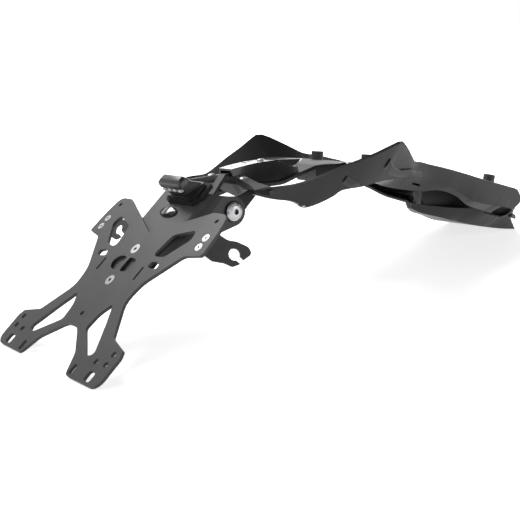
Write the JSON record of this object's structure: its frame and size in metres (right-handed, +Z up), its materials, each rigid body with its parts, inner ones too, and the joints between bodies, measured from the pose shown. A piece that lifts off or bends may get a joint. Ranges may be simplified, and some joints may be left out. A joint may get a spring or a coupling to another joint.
{
  "type": "motorbike tail tidy",
  "caption": "Number plate holder for a motorbike: a tilting plate bracket on a folded arm, with indicator hooks and a plate light, under a moulded undertray with spacers and a lower mudguard.",
  "frame": {"origin": "middle of the bounding box, on the ground under the plate's feet and the mudguard's nose", "axes": "+Y to the front of the motorbike, +Z up, +X to the right as seen from behind; X = 0 is the mirror plane"},
  "size_m": [0.2288, 0.5906, 0.1465],
  "materials": {
    "powder_coat": "satin black powder coat",
    "moulding": "black moulded plastic with a soft sheen",
    "stainless": "plain stainless",
    "zinc": "zinc plated",
    "rubber": "black rubber",
    "lens": "clear ribbed lens"
  },
  "bodies": {
    "undertray_assembly": {"pivot_tube": "powder_coat", "pivot_bolt_left": "stainless", "pivot_bolt_right": "stainless", "pivot_washer_left": "rubber", "pivot_washer_right": "rubber", "hanger_bracket": "powder_coat", "tie_strap": "powder_coat", "hanger_screws": "zinc", "wiring_channel": "moulding", "channel_screws": "zinc", "undertray": "moulding", "rear_spacer_left": "powder_coat", "rear_spacer_right": "powder_coat", "front_spacer_left": "powder_coat", "front_spacer_right": "powder_coat", "inner_mudguard": "moulding", "mudguard_screws": "zinc"},
    "plate_assembly": {"number_plate_bracket": "powder_coat", "plate_arm": "powder_coat", "plate_screws": "stainless", "plate_nuts": "zinc", "indicator_bracket_left": "powder_coat", "indicator_bracket_right": "powder_coat", "indicator_screws": "stainless", "indicator_nuts": "zinc", "cover_plug": "powder_coat", "plug_ring": "rubber", "light_housing": "moulding", "light_lens": "lens", "light_base": "rubber", "light_screws": "zinc"}
  },
  "joints": [
    {"name": "plate_tilt", "type": "hinge", "parent": "undertray_assembly", "child": "plate_assembly", "pos_m": [0, -0.10552, 0.10336], "axis": [1, 0, 0], "range_deg": [-10, 10]}
  ]
}
